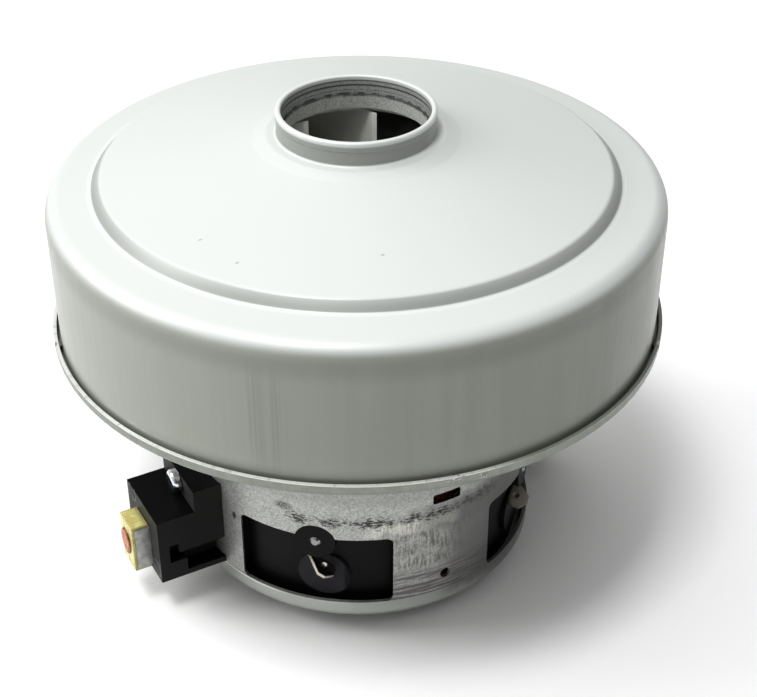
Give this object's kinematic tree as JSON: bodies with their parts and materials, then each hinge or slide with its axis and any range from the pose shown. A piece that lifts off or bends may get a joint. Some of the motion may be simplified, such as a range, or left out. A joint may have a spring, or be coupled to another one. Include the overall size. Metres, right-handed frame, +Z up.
{
  "type": "vacuum cleaner motor and fan unit",
  "caption": "Through-flow vacuum cleaner motor: drawn fan cover with an inlet collar on a flanged steel can, with side brush holders and push-on terminals.",
  "frame": {"origin": "middle of the rear bearing hub's flat end, on the shaft axis", "axes": "+Z up the shaft towards the inlet collar, +X towards the right brush holder, -Y through the post between the two terminal windows"},
  "size_m": [0.138, 0.138, 0.1132],
  "materials": {
    "cover_paint": "satin",
    "zinc_sheet": "galvanised, fine spangle",
    "bright_steel": "bright",
    "bearing_steel": "ground",
    "core_steel": "laminated",
    "wheel_aluminium": "satin",
    "black_moulding": "fine moulded grain",
    "brass_strip": "satin",
    "copper": "bare copper",
    "enamelled_wire": "enamelled copper wire",
    "carbon": "pressed carbon",
    "rubber": "matte",
    "fibre": "fibre board",
    "resin": "moulded resin",
    "seal_felt": "grainy",
    "tinned_tab": "tinned, dull"
  },
  "bodies": {
    "housing": {"motor_frame": "zinc_sheet", "fan_cover": "cover_paint", "inlet_seal": "seal_felt", "diffuser": "black_moulding", "bearing_bracket": "zinc_sheet", "bracket_screws": "bright_steel", "upper_bearing_outer_ring": "bearing_steel", "upper_bearing_shields": "bright_steel", "lower_bearing_outer_ring": "bearing_steel", "lower_bearing_shields": "bright_steel", "bearing_damper": "rubber", "stator_core": "core_steel", "field_coil_front": "enamelled_wire", "field_coil_rear": "enamelled_wire", "stator_insulators": "fibre", "left_brush_holder": "black_moulding", "right_brush_holder": "black_moulding", "left_brush_tube": "bright_steel", "right_brush_tube": "bright_steel", "left_brush_cap": "brass_strip", "right_brush_cap": "brass_strip", "left_brush_spring": "bright_steel", "right_brush_spring": "bright_steel", "left_brush_pigtail": "copper", "right_brush_pigtail": "copper", "pigtail_welds": "copper", "holder_screws": "bright_steel", "left_terminal_carrier": "black_moulding", "right_terminal_carrier": "black_moulding", "left_terminal_tab": "tinned_tab", "right_terminal_tab": "tinned_tab", "terminal_rivets": "bright_steel"},
    "rotor": {"shaft": "bright_steel", "rotor_core": "core_steel", "armature_winding": "enamelled_wire", "rotor_insulators": "fibre", "commutator_bars": "copper", "commutator_hub": "resin", "spacer_sleeve": "bright_steel", "impeller_backplate": "wheel_aluminium", "impeller_shroud": "wheel_aluminium", "impeller_blades": "wheel_aluminium", "impeller_washers": "bright_steel", "impeller_nut": "bright_steel", "upper_bearing_inner_ring": "bearing_steel", "lower_bearing_inner_ring": "bearing_steel"},
    "upper_ball_set": {"upper_bearing_balls": "bearing_steel", "upper_bearing_cage": "bright_steel"},
    "lower_ball_set": {"lower_bearing_balls": "bearing_steel", "lower_bearing_cage": "bright_steel"},
    "left_brush": {"left_carbon_brush": "carbon"},
    "right_brush": {"right_carbon_brush": "carbon"}
  },
  "joints": [
    {"name": "rotor_spin", "type": "hinge", "parent": "housing", "child": "rotor", "pos_m": [0, 0, 0], "axis": [0, 0, 1], "continuous": true},
    {"name": "upper_balls_spin", "type": "hinge", "parent": "housing", "child": "upper_ball_set", "pos_m": [0, 0, 0], "axis": [0, 0, 1], "continuous": true},
    {"name": "lower_balls_spin", "type": "hinge", "parent": "housing", "child": "lower_ball_set", "pos_m": [0, 0, 0], "axis": [0, 0, 1], "continuous": true},
    {"name": "left_brush_slide", "type": "slide", "parent": "housing", "child": "left_brush", "axis": [-1, 0, 0], "range_m": [0, 0.008], "stiffness_N_per_m": 120, "springref_m": -0.02, "deforming": ["left_brush_spring", "left_brush_pigtail"]},
    {"name": "right_brush_slide", "type": "slide", "parent": "housing", "child": "right_brush", "axis": [1, 0, 0], "range_m": [0, 0.008], "stiffness_N_per_m": 120, "springref_m": -0.02, "deforming": ["right_brush_spring", "right_brush_pigtail"]}
  ],
  "couplings": [
    {"joint": "upper_balls_spin", "follows": "rotor_spin", "ratio": 0.368},
    {"joint": "lower_balls_spin", "follows": "rotor_spin", "ratio": 0.368}
  ]
}
